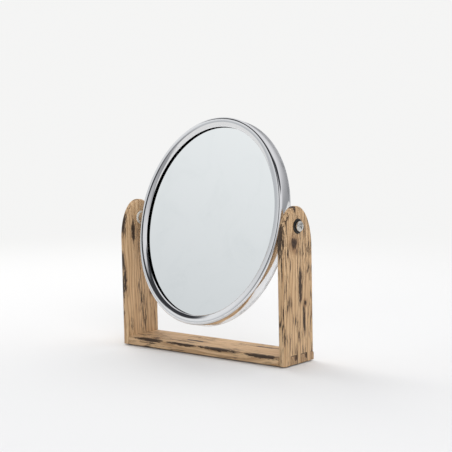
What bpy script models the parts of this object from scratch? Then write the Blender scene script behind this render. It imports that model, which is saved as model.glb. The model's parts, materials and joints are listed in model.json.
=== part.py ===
"""Countertop mirror: an oval double-sided mirror that turns between the posts of a wooden stand.

Frame: metres, +Z up, the front glass faces -Y, and the origin is on the table under the middle of the stand.
The mirror is modelled facing +Z about its own centre, then stood up and tilted by the empty on its hinge.
"""
from math import cos, pi, radians, sin

import bmesh
import bpy

MM = 0.001

# Clearance left between pieces that touch, and how far a cutter reaches past what it cuts
GAP = 0.3 * MM
CUT_MARGIN = 2 * MM

# Stand
STAND_LENGTH = 200 * MM
STAND_DEPTH = 44 * MM
STAND_HEIGHT = 142 * MM
POST_THICKNESS = 7 * MM
BASE_THICKNESS = 8 * MM
ARCH_HEIGHT = 38 * MM
POST_ROUNDOVER = 2 * MM
BASE_ROUNDOVER = 2.5 * MM
ARCH_STEPS = 28

# Finger joint: the base's fingers show on the outer faces of the posts
FINGER_START = 0.215
FINGER_PITCH = 0.34
FINGER_WIDTH = 0.205
FINGER_COUNT = 3

# Foot pads
FOOT_RADIUS = 6 * MM
FOOT_HEIGHT = 0.9 * MM
FOOT_INSET_X = 17 * MM
FOOT_INSET_Y = 11 * MM

# Mirror, with its half depth to the front and to the back of the hinge
HINGE_ABOVE_BASE = 124 * MM
TILT_BACK = radians(15)
RIM_HALF_WIDTH = 86 * MM
RIM_HALF_HEIGHT = 99 * MM
RIM_HALF_DEPTH = 8 * MM
RIM_WALL = 1.5 * MM
LIP_WIDTH = 9 * MM
LIP_THICKNESS = 2.4 * MM
CREST_INSET = 2.8 * MM
CREST_ROUND = 2.1 * MM
LIP_DROP = 2.2 * MM
SEAM_FROM_CREST = 2.4 * MM
RIM_STEPS = 96

# Points on the lip between its crest and its inner edge, as (width, drop) from the crest: a roll, then a flank
LIP_POINTS = ((2.9 * MM, 0.55 * MM), (5 * MM, 1.41 * MM))

# Layers behind each lip
GLASS_THICKNESS = 2 * MM
PAD_THICKNESS = 0.5 * MM
REAR_PAD_THICKNESS = 0.4 * MM
REAR_PAD_WIDTH = 2.4 * MM
SKIRT_THICKNESS = 1 * MM
GLASS_DISH = 2.2 * MM
CORE_WIDTH = 10 * MM

# Pivots, along X from the rim out to the screw head
PIVOT_SCREW_RADIUS = 1.5 * MM
PIVOT_HOLE_RADIUS = PIVOT_SCREW_RADIUS + GAP
SPACER_RADIUS = 5.5 * MM
FRICTION_WASHER_RADIUS = 6.5 * MM
FRICTION_WASHER_THICKNESS = 1.1 * MM
CUP_RADIUS = 6.8 * MM
CUP_THICKNESS = 1.2 * MM
HEAD_RADIUS = 4.8 * MM
HEAD_HEIGHT = 2.5 * MM
RECESS_ARM = 2.7 * MM
RECESS_WIDTH = 1 * MM
RECESS_DEPTH = 1.5 * MM
BLOCK_LENGTH = 5.7 * MM
BLOCK_HALF_HEIGHT = 6 * MM
TIP_INSIDE_BLOCK = 1.5 * MM
TIP_TAPER = 0.6 * MM
TURNED_STEPS = 24

# Levels and planes worked out from the sizes above
BASE_BOTTOM = FOOT_HEIGHT + GAP
BASE_TOP = BASE_BOTTOM + BASE_THICKNESS
POST_TOP = BASE_BOTTOM + STAND_HEIGHT
HINGE_HEIGHT = BASE_BOTTOM + HINGE_ABOVE_BASE
POST_OUTER = STAND_LENGTH / 2
POST_INNER = POST_OUTER - POST_THICKNESS
LIP_INSIDE = RIM_HALF_DEPTH - LIP_THICKNESS
GLASS_FACE = LIP_INSIDE - GAP
GLASS_BACK = GLASS_FACE - GLASS_THICKNESS
PAD_FACE = GLASS_BACK - GAP
CORE_HALF_DEPTH = PAD_FACE - PAD_THICKNESS - GAP
CORE_INSET = RIM_WALL + GAP
SEAM_DEPTH = RIM_HALF_DEPTH - SEAM_FROM_CREST
FRONT_GLASS_INSET = CORE_INSET + 0.1 * MM
SKIRT_INSET = CORE_INSET + SKIRT_THICKNESS
REAR_GLASS_INSET = SKIRT_INSET + GAP
BLOCK_OUTER = RIM_HALF_WIDTH - CORE_INSET - GAP
BLOCK_INNER = BLOCK_OUTER - BLOCK_LENGTH


def clear_scene():
    for obj in list(bpy.data.objects):
        bpy.data.objects.remove(obj, do_unlink=True)


def new_collection(name):
    collection = bpy.data.collections.new(name)
    bpy.context.scene.collection.children.link(collection)
    return collection


def make_material(name, colour, roughness, metallic=0.0):
    material = bpy.data.materials.new(name)
    material.use_nodes = True
    shader = material.node_tree.nodes["Principled BSDF"]
    shader.inputs["Base Color"].default_value = (*colour, 1.0)
    shader.inputs["Roughness"].default_value = roughness
    shader.inputs["Metallic"].default_value = metallic
    return material


def add_object(name, data, collection, material=None, parent=None):
    obj = bpy.data.objects.new(name, data)
    collection.objects.link(obj)
    if material:
        data.materials.append(material)
    if parent:
        obj.parent = parent
    return obj


def mesh_from_bmesh(name, bm):
    mesh = bpy.data.meshes.new(name)
    bm.to_mesh(mesh)
    bm.free()
    return mesh


def make_cutter(obj):
    obj.hide_render = True
    obj.display_type = "WIRE"
    return obj


def box_mesh(name, low, high):
    """A box between two opposite corners."""
    bm = bmesh.new()
    bmesh.ops.create_cube(bm, size=1.0)
    for vert in bm.verts:
        for axis in range(3):
            middle = (low[axis] + high[axis]) / 2
            vert.co[axis] = middle + vert.co[axis] * (high[axis] - low[axis])
    return mesh_from_bmesh(name, bm)


def cut(obj, cutter):
    boolean = obj.modifiers.new(cutter.name, "BOOLEAN")
    boolean.operation = "DIFFERENCE"
    boolean.solver = "EXACT"
    boolean.object = cutter


def turned(name, profile, closed, collection, material=None, parent=None):
    """A round piece about Z, from (radius, height) points that run down its outer side."""
    mesh = bpy.data.meshes.new(name)
    edges = [(i, i + 1) for i in range(len(profile) - 1)]
    if closed:
        edges.append((len(profile) - 1, 0))
    mesh.from_pydata([(radius, 0.0, height) for radius, height in profile], edges, [])
    obj = add_object(name, mesh, collection, material, parent)
    screw = obj.modifiers.new("Turn", "SCREW")
    screw.steps = TURNED_STEPS
    screw.render_steps = TURNED_STEPS
    screw.use_merge_vertices = True
    screw.merge_threshold = 0.00001
    screw.use_smooth_shade = True
    return obj


def flat_ring_profile(inner, outer, low, high, ease):
    """The closed section of a washer or sleeve, with its outer corners eased."""
    return [
        (inner, high),
        (outer - ease, high),
        (outer, high - ease),
        (outer, low + ease),
        (outer - ease, low),
        (inner, low),
    ]


def oval_spline(curve, half_width, half_height):
    """A closed oval drawn in the curve's XY plane."""
    spline = curve.splines.new("POLY")
    spline.points.add(RIM_STEPS - 1)
    for i, point in enumerate(spline.points):
        angle = 2 * pi * i / RIM_STEPS
        point.co = (half_width * cos(angle), half_height * sin(angle), 0.0, 1.0)
    spline.use_cyclic_u = True


def mesh_from_curve(obj, collection):
    """Replace a curve object with a welded mesh whose faces point out."""
    depsgraph = bpy.context.evaluated_depsgraph_get()
    mesh = bpy.data.meshes.new_from_object(obj.evaluated_get(depsgraph))
    bm = bmesh.new()
    bm.from_mesh(mesh)
    bmesh.ops.remove_doubles(bm, verts=bm.verts, dist=0.00001)
    bmesh.ops.recalc_face_normals(bm, faces=bm.faces)
    if bm.calc_volume(signed=True) < 0:
        bmesh.ops.reverse_faces(bm, faces=bm.faces)
    bm.to_mesh(mesh)
    bm.free()
    name = obj.name
    parent = obj.parent
    matrix = obj.matrix_basis.copy()
    bpy.data.objects.remove(obj, do_unlink=True)
    solid = bpy.data.objects.new(name, mesh)
    solid.parent = parent
    solid.matrix_basis = matrix
    collection.objects.link(solid)
    return solid


def oval_plate(name, inset, low, high, collection, material, parent, opening_inset=None):
    """A flat oval, or with opening_inset an oval ring, whose outline is inset from the rim's outside."""
    curve = bpy.data.curves.new(name, "CURVE")
    curve.dimensions = "2D"
    curve.fill_mode = "BOTH"
    curve.extrude = (high - low) / 2
    oval_spline(curve, RIM_HALF_WIDTH - inset, RIM_HALF_HEIGHT - inset)
    if opening_inset:
        oval_spline(curve, RIM_HALF_WIDTH - opening_inset, RIM_HALF_HEIGHT - opening_inset)
    obj = add_object(name, curve, collection, material, parent)
    obj.location.z = (low + high) / 2
    return mesh_from_curve(obj, collection)


def oval_sweep(name, section, collection, material, parent):
    """A ring with one section all the way round, from (inset, height) points."""
    profile = bpy.data.curves.new(name + "_section", "CURVE")
    profile.dimensions = "2D"
    spline = profile.splines.new("POLY")
    spline.points.add(len(section) - 1)
    for point, (inset, height) in zip(spline.points, section):
        point.co = (inset, height, 0.0, 1.0)
    spline.use_cyclic_u = True
    profile_object = add_object(name + "_section", profile, collection)
    path = bpy.data.curves.new(name, "CURVE")
    path.dimensions = "2D"
    path.fill_mode = "NONE"
    path.bevel_mode = "OBJECT"
    path.bevel_object = profile_object
    oval_spline(path, RIM_HALF_WIDTH, RIM_HALF_HEIGHT)
    obj = add_object(name, path, collection, material, parent)
    ring = mesh_from_curve(obj, collection)
    bpy.data.objects.remove(profile_object, do_unlink=True)
    for polygon in ring.data.polygons:
        polygon.use_smooth = True
    ring.data.set_sharp_from_angle(angle=radians(40))
    return ring


def lip_section():
    """The outside of a lip: a quarter ellipse up to the crest, then down to the lip's inner edge."""
    points = []
    for i in range(7):
        angle = radians(15 * i)
        points.append((CREST_INSET * (1 - cos(angle)), RIM_HALF_DEPTH - CREST_ROUND * (1 - sin(angle))))
    for width, drop in LIP_POINTS:
        points.append((CREST_INSET + width, RIM_HALF_DEPTH - drop))
    points.append((LIP_WIDTH, RIM_HALF_DEPTH - LIP_DROP))
    points.append((LIP_WIDTH, LIP_INSIDE))
    return points


def finger_spans():
    """The base's fingers as (front, back) along Y; the last one ends flush with the back edge."""
    spans = []
    for i in range(FINGER_COUNT):
        front = -STAND_DEPTH / 2 + (FINGER_START + FINGER_PITCH * i) * STAND_DEPTH
        back = min(front + FINGER_WIDTH * STAND_DEPTH, STAND_DEPTH / 2)
        spans.append((front, back))
    return spans


def post_finger_spans():
    """The post's fingers as (front, back) along Y, between the fingers of the base."""
    edges = [-STAND_DEPTH / 2]
    for front, back in finger_spans():
        edges += [front, back]
    return list(zip(edges[0:-1:2], edges[1::2]))


def joined_boxes(name, boxes, collection):
    """One cutter made of separate boxes."""
    bm = bmesh.new()
    for low, high in boxes:
        box = box_mesh(name, low, high)
        bm.from_mesh(box)
        bpy.data.meshes.remove(box)
    return make_cutter(add_object(name, mesh_from_bmesh(name, bm), collection))


def make_base_board(parts, cutters, wood):
    low = (-STAND_LENGTH / 2, -STAND_DEPTH / 2, BASE_BOTTOM)
    high = (STAND_LENGTH / 2, STAND_DEPTH / 2, BASE_TOP)
    mesh = box_mesh("base_board", low, high)
    bm = bmesh.new()
    bm.from_mesh(mesh)
    top_edges = []
    for edge in bm.edges:
        along_x = abs(edge.verts[0].co.x - edge.verts[1].co.x) > STAND_LENGTH / 2
        if along_x and edge.verts[0].co.z > BASE_BOTTOM + BASE_THICKNESS / 2:
            top_edges.append(edge)
    bmesh.ops.bevel(bm, geom=top_edges, offset=BASE_ROUNDOVER, segments=4, profile=0.5, affect="EDGES")
    bm.to_mesh(mesh)
    bm.free()
    board = add_object("base_board", mesh, parts, wood)
    boxes = []
    for side in (-1, 1):
        shoulder = side * (POST_INNER - GAP)
        end = side * (POST_OUTER + CUT_MARGIN)
        for front, back in post_finger_spans():
            reach = CUT_MARGIN if front <= -STAND_DEPTH / 2 else GAP
            boxes.append((
                (min(shoulder, end), front - reach, BASE_BOTTOM - CUT_MARGIN),
                (max(shoulder, end), back + GAP / 2, BASE_TOP + CUT_MARGIN),
            ))
    cut(board, joined_boxes("base_notch_cutter", boxes, cutters))
    return board


def post_outline_curve(name):
    """Front edge up, round the arch and down the back edge, drawn with X as depth and Y as height."""
    curve = bpy.data.curves.new(name, "CURVE")
    curve.dimensions = "2D"
    curve.fill_mode = "BOTH"
    curve.extrude = POST_THICKNESS / 2
    half = STAND_DEPTH / 2
    spring = POST_TOP - ARCH_HEIGHT
    below = BASE_BOTTOM - 2 * CUT_MARGIN
    points = [(half, below)]
    for i in range(ARCH_STEPS + 1):
        angle = pi * i / ARCH_STEPS
        points.append((half * cos(angle), spring + ARCH_HEIGHT * sin(angle)))
    points.append((-half, below))
    spline = curve.splines.new("POLY")
    spline.points.add(len(points) - 1)
    for point, (depth, height) in zip(spline.points, points):
        point.co = (depth, height, 0.0, 1.0)
    spline.use_cyclic_u = True
    return curve


def post_foot_boxes(side):
    """Everything that comes off the bottom of a post: below the base, and where the base's fingers pass."""
    inner = side * (POST_INNER - CUT_MARGIN)
    outer = side * (POST_OUTER + CUT_MARGIN)
    left = min(inner, outer)
    right = max(inner, outer)
    depth = STAND_DEPTH / 2 + CUT_MARGIN
    boxes = [((left, -depth, BASE_BOTTOM - 3 * CUT_MARGIN), (right, depth, BASE_BOTTOM))]
    for front, back in finger_spans():
        reach = CUT_MARGIN if back >= STAND_DEPTH / 2 - GAP else GAP / 2
        boxes.append((
            (left, front - GAP / 2, BASE_BOTTOM - CUT_MARGIN),
            (right, back + reach, BASE_TOP + GAP),
        ))
    return boxes


def join_flat_faces(mesh):
    """Make each flat side one face, so that a bevel runs cleanly along its outline."""
    bm = bmesh.new()
    bm.from_mesh(mesh)
    bmesh.ops.dissolve_limit(bm, angle_limit=radians(1), verts=bm.verts, edges=bm.edges)
    bm.to_mesh(mesh)
    bm.free()


def make_post(name, side, parts, cutters, wood):
    curve_object = add_object(name, post_outline_curve(name), parts, wood)
    curve_object.rotation_euler = (radians(90), 0.0, radians(90))
    curve_object.location.x = side * (POST_INNER + POST_OUTER) / 2
    post = mesh_from_curve(curve_object, parts)
    join_flat_faces(post.data)
    bevel = post.modifiers.new("Roundover", "BEVEL")
    bevel.width = POST_ROUNDOVER
    bevel.segments = 3
    bevel.limit_method = "ANGLE"
    bevel.angle_limit = radians(50)
    for i, (low, high) in enumerate(post_foot_boxes(side)):
        cutter_name = f"{name}_foot_cutter_{i}"
        cutter = add_object(cutter_name, box_mesh(cutter_name, low, high), cutters)
        cut(post, make_cutter(cutter))
    cut(post, pivot_hole_cutter(name, side, cutters))
    return post


def pivot_hole_cutter(name, side, cutters):
    """A rod along X on the hinge line, for the hole that a pivot screw passes through."""
    bm = bmesh.new()
    bmesh.ops.create_cone(
        bm,
        cap_ends=True,
        segments=TURNED_STEPS,
        radius1=PIVOT_HOLE_RADIUS,
        radius2=PIVOT_HOLE_RADIUS,
        depth=POST_OUTER - BLOCK_INNER + 2 * CUT_MARGIN,
    )
    cutter = add_object(name + "_hole_cutter", mesh_from_bmesh(name + "_hole_cutter", bm), cutters)
    cutter.rotation_euler.y = radians(90)
    cutter.location = (side * (POST_OUTER + BLOCK_INNER) / 2, 0.0, HINGE_HEIGHT)
    return make_cutter(cutter)


def make_foot_pads(parts, rubber):
    for depth_name, depth_side in (("front", -1), ("rear", 1)):
        for side_name, side in (("left", -1), ("right", 1)):
            profile = flat_ring_profile(0.0, FOOT_RADIUS, 0.0, FOOT_HEIGHT, 0.2 * MM)
            foot = turned(f"foot_pad_{depth_name}_{side_name}", profile, False, parts, rubber)
            foot.location.x = side * (STAND_LENGTH / 2 - FOOT_INSET_X)
            foot.location.y = depth_side * (STAND_DEPTH / 2 - FOOT_INSET_Y)


def make_mirror_rim(parts, cutters, chrome, hinge):
    section = [(0.0, -SEAM_DEPTH + GAP / 2)]
    section += lip_section()
    section += [
        (RIM_WALL, LIP_INSIDE),
        (RIM_WALL, -SEAM_DEPTH + GAP / 2),
    ]
    rim = oval_sweep("mirror_rim", section, parts, chrome, hinge)
    for side_name, side in (("left", -1), ("right", 1)):
        cut(rim, pivot_hole_cutter(f"rim_{side_name}", side, cutters))
    return rim


def make_rear_bezel(parts, chrome, hinge):
    """The rear lip mirrors the front one, and its skirt plugs into the band."""
    section = [(inset, -height) for inset, height in lip_section()]
    section += [
        (SKIRT_INSET, -LIP_INSIDE),
        (SKIRT_INSET, -CORE_HALF_DEPTH - GAP),
        (CORE_INSET, -CORE_HALF_DEPTH - GAP),
        (CORE_INSET, -SEAM_DEPTH - GAP / 2),
        (0.0, -SEAM_DEPTH - GAP / 2),
    ]
    section.reverse()
    return oval_sweep("rear_bezel", section, parts, chrome, hinge)


def make_core_frame(parts, cutters, plastic, hinge):
    core = oval_plate(
        "core_frame",
        CORE_INSET,
        -CORE_HALF_DEPTH,
        CORE_HALF_DEPTH,
        parts,
        plastic,
        hinge,
        opening_inset=CORE_INSET + CORE_WIDTH,
    )
    boxes = []
    for side in (-1, 1):
        floor = side * (BLOCK_INNER - GAP)
        outside = side * (RIM_HALF_WIDTH + CUT_MARGIN)
        height = BLOCK_HALF_HEIGHT + GAP
        boxes.append((
            (min(floor, outside), -height, -CORE_HALF_DEPTH - CUT_MARGIN),
            (max(floor, outside), height, CORE_HALF_DEPTH + CUT_MARGIN),
        ))
    pockets = joined_boxes("core_pocket_cutter", boxes, cutters)
    pockets.parent = hinge
    cut(core, pockets)
    return core


def make_rear_glass(parts, mirror, hinge):
    """A dished disc turned to the oval's half width, then stretched to its half height."""
    half_width = RIM_HALF_WIDTH - REAR_GLASS_INSET
    half_height = RIM_HALF_HEIGHT - REAR_GLASS_INSET
    steps = 5
    radii = [half_width * i / steps for i in range(steps + 1)]
    inner_side = [(r, -GLASS_BACK + GLASS_DISH * (1 - (r / half_width) ** 2)) for r in radii]
    outer_side = [(r, height - GLASS_THICKNESS) for r, height in reversed(inner_side)]
    glass = turned("rear_glass", inner_side + outer_side, False, parts, mirror, hinge)
    glass.modifiers["Turn"].steps = RIM_STEPS
    glass.modifiers["Turn"].render_steps = RIM_STEPS
    glass.scale.y = half_height / half_width
    return glass


def make_mirror_layers(parts, materials, hinge):
    oval_plate("front_glass", FRONT_GLASS_INSET, GLASS_BACK, GLASS_FACE, parts, materials["mirror"], hinge)
    pad_back = PAD_FACE - PAD_THICKNESS
    oval_plate("front_pad", REAR_GLASS_INSET, pad_back, PAD_FACE, parts, materials["foam"], hinge)
    rear_face = -CORE_HALF_DEPTH - GAP
    oval_plate(
        "rear_pad",
        REAR_GLASS_INSET,
        rear_face - REAR_PAD_THICKNESS,
        rear_face,
        parts,
        materials["foam"],
        hinge,
        opening_inset=REAR_GLASS_INSET + REAR_PAD_WIDTH,
    )


def place_on_hinge(obj, side, distance):
    """Lay a turned piece along X, its height running outwards from the given distance."""
    obj.rotation_euler.y = side * radians(90)
    obj.location.x = side * distance


def make_pivot_screw(name, side, parts, cutters, steel, hinge):
    """A low domed head with a cross recess, and a shank that ends inside the pivot block."""
    seat = POST_OUTER + GAP + CUP_THICKNESS + GAP
    tip = BLOCK_INNER + TIP_INSIDE_BLOCK
    length = seat - tip
    profile = [(0.0, HEAD_HEIGHT)]
    for i in range(1, 6):
        angle = radians(80 * i / 5)
        profile.append((HEAD_RADIUS * sin(angle), HEAD_HEIGHT * (0.25 + 0.75 * cos(angle))))
    profile += [
        (HEAD_RADIUS, 0.0),
        (PIVOT_SCREW_RADIUS, 0.0),
        (PIVOT_SCREW_RADIUS, -length + TIP_TAPER),
        (PIVOT_SCREW_RADIUS - TIP_TAPER, -length),
        (0.0, -length),
    ]
    screw = turned(name, profile, False, parts, steel, hinge)
    place_on_hinge(screw, side, seat)
    for arm_name, reach_x, reach_y in (("a", RECESS_ARM, RECESS_WIDTH / 2), ("b", RECESS_WIDTH / 2, RECESS_ARM)):
        low = (-reach_x, -reach_y, HEAD_HEIGHT - RECESS_DEPTH)
        high = (reach_x, reach_y, HEAD_HEIGHT + CUT_MARGIN)
        cutter_name = f"{name}_recess_cutter_{arm_name}"
        cutter = make_cutter(add_object(cutter_name, box_mesh(cutter_name, low, high), cutters, parent=hinge))
        place_on_hinge(cutter, side, seat)
        cut(screw, cutter)
    return screw


def make_pivot(side_name, side, parts, cutters, materials, hinge, stand_axis):
    """One pivot: block, spacer and screw turn with the mirror, and the two washers stay on the post."""
    block_low = min(side * BLOCK_INNER, side * BLOCK_OUTER)
    block_high = max(side * BLOCK_INNER, side * BLOCK_OUTER)
    block_name = side_name + "_pivot_block"
    low = (block_low, -BLOCK_HALF_HEIGHT, -CORE_HALF_DEPTH)
    high = (block_high, BLOCK_HALF_HEIGHT, CORE_HALF_DEPTH)
    block = add_object(block_name, box_mesh(block_name, low, high), parts, materials["steel"], hinge)
    cut(block, pivot_hole_cutter(block_name, side, cutters))

    spacer_start = RIM_HALF_WIDTH + GAP
    washer_start = POST_INNER - GAP - FRICTION_WASHER_THICKNESS
    spacer_length = washer_start - GAP - spacer_start
    spacer_profile = flat_ring_profile(PIVOT_HOLE_RADIUS, SPACER_RADIUS, 0.0, spacer_length, 0.4 * MM)
    spacer = turned(side_name + "_spacer", spacer_profile, True, parts, materials["chrome"], hinge)
    place_on_hinge(spacer, side, spacer_start)

    washer_profile = flat_ring_profile(
        PIVOT_HOLE_RADIUS, FRICTION_WASHER_RADIUS, 0.0, FRICTION_WASHER_THICKNESS, 0.2 * MM
    )
    washer_name = side_name + "_friction_washer"
    washer = turned(washer_name, washer_profile, True, parts, materials["nylon"], stand_axis)
    place_on_hinge(washer, side, washer_start)

    cup_profile = [
        (PIVOT_HOLE_RADIUS, CUP_THICKNESS),
        (CUP_RADIUS - 1.4 * MM, CUP_THICKNESS),
        (CUP_RADIUS - 0.4 * MM, CUP_THICKNESS * 0.6),
        (CUP_RADIUS, 0.0),
        (PIVOT_HOLE_RADIUS, 0.0),
    ]
    cup = turned(side_name + "_cup_washer", cup_profile, True, parts, materials["dark_steel"], stand_axis)
    place_on_hinge(cup, side, POST_OUTER + GAP)

    make_pivot_screw(side_name + "_pivot_screw", side, parts, cutters, materials["steel"], hinge)


def make_materials():
    return {
        "wood": make_material("wood", (0.52, 0.34, 0.19), 0.6),
        "chrome": make_material("polished_metal", (0.78, 0.78, 0.79), 0.12, 1.0),
        "mirror": make_material("mirror_glass", (0.86, 0.89, 0.9), 0.02, 1.0),
        "steel": make_material("plated_steel", (0.6, 0.6, 0.58), 0.3, 1.0),
        "dark_steel": make_material("dark_steel", (0.05, 0.05, 0.05), 0.4, 1.0),
        "nylon": make_material("nylon", (0.82, 0.8, 0.75), 0.5),
        "plastic": make_material("moulded_plastic", (0.03, 0.03, 0.03), 0.55),
        "foam": make_material("foam", (0.12, 0.12, 0.12), 0.9),
        "rubber": make_material("rubber", (0.08, 0.08, 0.08), 0.7),
    }


def make_axis_empty(name, rotation, parts):
    empty = bpy.data.objects.new(name, None)
    empty.location.z = HINGE_HEIGHT
    empty.rotation_euler.x = rotation
    parts.objects.link(empty)
    return empty


def main():
    clear_scene()
    parts = new_collection("countertop_mirror")
    cutters = new_collection("cutters")
    materials = make_materials()
    hinge = make_axis_empty("mirror_hinge", radians(90) - TILT_BACK, parts)
    stand_axis = make_axis_empty("stand_hinge_line", 0.0, parts)
    bpy.context.view_layer.update()

    make_base_board(parts, cutters, materials["wood"])
    make_post("left_post", -1, parts, cutters, materials["wood"])
    make_post("right_post", 1, parts, cutters, materials["wood"])
    make_foot_pads(parts, materials["rubber"])
    make_mirror_rim(parts, cutters, materials["chrome"], hinge)
    make_rear_bezel(parts, materials["chrome"], hinge)
    make_core_frame(parts, cutters, materials["plastic"], hinge)
    make_mirror_layers(parts, materials, hinge)
    make_rear_glass(parts, materials["mirror"], hinge)
    for side_name, side in (("left", -1), ("right", 1)):
        make_pivot(side_name, side, parts, cutters, materials, hinge, stand_axis)


main()
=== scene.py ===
"""Looks of the countertop mirror: fine wood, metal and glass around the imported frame."""
import json
from math import cos, pi, radians, sin

import bmesh
import bpy
import numpy as np
from mathutils import Matrix, Vector


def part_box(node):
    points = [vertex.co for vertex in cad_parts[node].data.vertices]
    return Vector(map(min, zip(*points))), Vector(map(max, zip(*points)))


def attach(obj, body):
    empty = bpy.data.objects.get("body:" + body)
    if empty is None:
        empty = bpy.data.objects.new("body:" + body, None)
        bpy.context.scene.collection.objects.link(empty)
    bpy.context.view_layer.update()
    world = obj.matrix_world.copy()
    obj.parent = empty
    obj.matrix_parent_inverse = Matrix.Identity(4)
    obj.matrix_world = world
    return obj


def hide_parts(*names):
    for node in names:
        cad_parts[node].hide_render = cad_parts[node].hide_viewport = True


MM = 0.001

# Camera, as the object is drawn: its aim, its distance and its turn round the object
CAMERA_AIM_HEIGHT = 0.110
CAMERA_DISTANCE = 1.1765
CAMERA_AZIMUTH = radians(40.56)
CAMERA_ELEVATION = radians(6.11)
CAMERA_ROLL = radians(1.27)
CAMERA_LENS = 99.32
CAMERA_SENSOR = 36.0
CAMERA_SHIFT = (0.0301, 0.0250)

# Studio
BACKDROP = (0.91, 0.91, 0.905)
FLOOR_COLOUR = (0.80, 0.80, 0.795)
FLOOR_HALF_SIZE = 9.0
FLOOR_FADE = (0.22, 1.2)
LIGHT_AIM_HEIGHT = 0.10

# Fine rim
RIM_STEPS = 288
CREST_INSET = 2.8 * MM
CREST_ROUND = 2.1 * MM
CREST_STEPS = 14
LIP_DROP = 2.2 * MM
LIP_WIDTH = 9 * MM
LIP_CORNER = 0.1 * MM
LIP_UNDERCUT = 0.04 * MM
LIP_SHARP_ANGLE = 50.0
# The lip from its crest inwards, as (length, first slope, last slope, steps): a roll, a flank and an edge
LIP_ROLL = ((2.9 * MM, 0.0, 0.38, 8), (2.1 * MM, 0.38, 0.44, 3), (1.05 * MM, 0.44, 1.1, 5))
RIM_WALL = 1.5 * MM
SEAM = 0.12 * MM
SEAM_BEVEL = 0.25 * MM
PLUG_INSET = 1.8 * MM
PLUG_WALL = 1.0 * MM
CAD_MARGIN = 0.06 * MM

# Wood
ROUNDOVER = 2 * MM
ROUNDOVER_STEPS = 6
BASE_ROUNDOVER = 2.5 * MM
BASE_EASE = 0.5 * MM
BASE_STATIONS = 9
FINGERS_BELOW_FACE = 0.1 * MM
ARCH_HEIGHT = 38 * MM
ARCH_STEPS = 96
FINGER_START = 0.215
FINGER_PITCH = 0.34
FINGER_WIDTH = 0.205
FINGER_COUNT = 3
JOINT_GAP = 0.08 * MM
GLUE_LINE = 0.34 * MM

# How far a cutter goes past the surfaces that it cuts
CUT_MARGIN = 2 * MM

# Pivots
HOLE_RADIUS = 1.8 * MM
CUP_CONE = 1.9 * MM
SHANK_RADIUS = 1.5 * MM
HEAD_HEIGHT = 2.5 * MM
HEAD_RIM = 0.34
HEAD_EASE = 0.15 * MM
RECESS_DEPTH = 1.6 * MM
THREAD_START = -10 * MM
THREAD_PITCH = 0.7 * MM
THREAD_DEPTH = 0.3 * MM

# Foot pads
FOOT_ROUND = 0.6 * MM

# Mirror glass: its thickness, how deep its silver is seen, and its room behind the lip
GLASS_THICKNESS = 2.0 * MM
SILVER_DEPTH = 1.8 * MM
GLASS_ROOM = 0.3 * MM
GROUND_SHARE = 0.3
DISH_RINGS = 20


# ---------------------------------------------------------------- node helpers

class Nodes:
    """Adds shader nodes to one node tree with short calls."""

    def __init__(self, tree):
        self.tree = tree

    def feed(self, socket, value):
        """Links another node's output to a socket, or sets the socket to a plain value."""
        if hasattr(value, "links"):
            self.tree.links.new(value, socket)
        else:
            socket.default_value = value

    def math(self, operation, first, second=0.0):
        node = self.tree.nodes.new("ShaderNodeMath")
        node.operation = operation
        self.feed(node.inputs[0], first)
        self.feed(node.inputs[1], second)
        return node.outputs[0]

    def split(self, vector):
        node = self.tree.nodes.new("ShaderNodeSeparateXYZ")
        self.feed(node.inputs[0], vector)
        return node.outputs

    def join(self, x, y, z):
        node = self.tree.nodes.new("ShaderNodeCombineXYZ")
        for socket, value in zip(node.inputs, (x, y, z)):
            self.feed(socket, value)
        return node.outputs[0]

    def vector(self, operation, first, second=(0.0, 0.0, 0.0)):
        node = self.tree.nodes.new("ShaderNodeVectorMath")
        node.operation = operation
        self.feed(node.inputs[0], first)
        self.feed(node.inputs[1], second)
        return node.outputs["Value" if operation == "LENGTH" else "Vector"]

    def noise(self, vector, scale, detail=3.0, roughness=0.5, distortion=0.0):
        node = self.tree.nodes.new("ShaderNodeTexNoise")
        self.feed(node.inputs["Vector"], vector)
        node.inputs["Scale"].default_value = scale
        node.inputs["Detail"].default_value = detail
        node.inputs["Roughness"].default_value = roughness
        node.inputs["Distortion"].default_value = distortion
        return node.outputs["Fac"]

    def ramp(self, value, low, high, from_value=0.0, to_value=1.0):
        """Smoothly maps value from the span low..high."""
        node = self.tree.nodes.new("ShaderNodeMapRange")
        node.interpolation_type = "SMOOTHSTEP"
        self.feed(node.inputs["Value"], value)
        node.inputs["From Min"].default_value = low
        node.inputs["From Max"].default_value = high
        node.inputs["To Min"].default_value = from_value
        node.inputs["To Max"].default_value = to_value
        return node.outputs["Result"]

    def mix(self, factor, first, second):
        node = self.tree.nodes.new("ShaderNodeMix")
        node.data_type = "RGBA"
        self.feed(node.inputs["Factor"], factor)
        for socket, value in ((node.inputs["A"], first), (node.inputs["B"], second)):
            self.feed(socket, (*value, 1.0) if isinstance(value, tuple) else value)
        return node.outputs["Result"]

    def bump(self, height, distance, strength):
        node = self.tree.nodes.new("ShaderNodeBump")
        node.inputs["Strength"].default_value = strength
        node.inputs["Distance"].default_value = distance
        self.feed(node.inputs["Height"], height)
        return node.outputs["Normal"]


class Shader(Nodes):
    """One procedural material."""

    def __init__(self, name):
        self.material = bpy.data.materials.new(name)
        self.material.use_nodes = True
        super().__init__(self.material.node_tree)
        self.surface = self.tree.nodes["Principled BSDF"]
        self.position = self.tree.nodes.new("ShaderNodeTexCoord").outputs["Object"]

    def set(self, **values):
        """Sets the surface's inputs by name: a link, a colour or a number."""
        for name, value in values.items():
            value = (*value, 1.0) if isinstance(value, tuple) else value
            self.feed(self.surface.inputs[name.replace("_", " ")], value)

    def dress(self, obj):
        """Makes this the object's only material."""
        obj.data.materials.clear()
        obj.data.materials.append(self.material)

    def finish(self, obj, slot):
        """Gives the material to a new piece; slot is not used."""
        self.dress(obj)


# ---------------------------------------------------------------- materials

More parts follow.
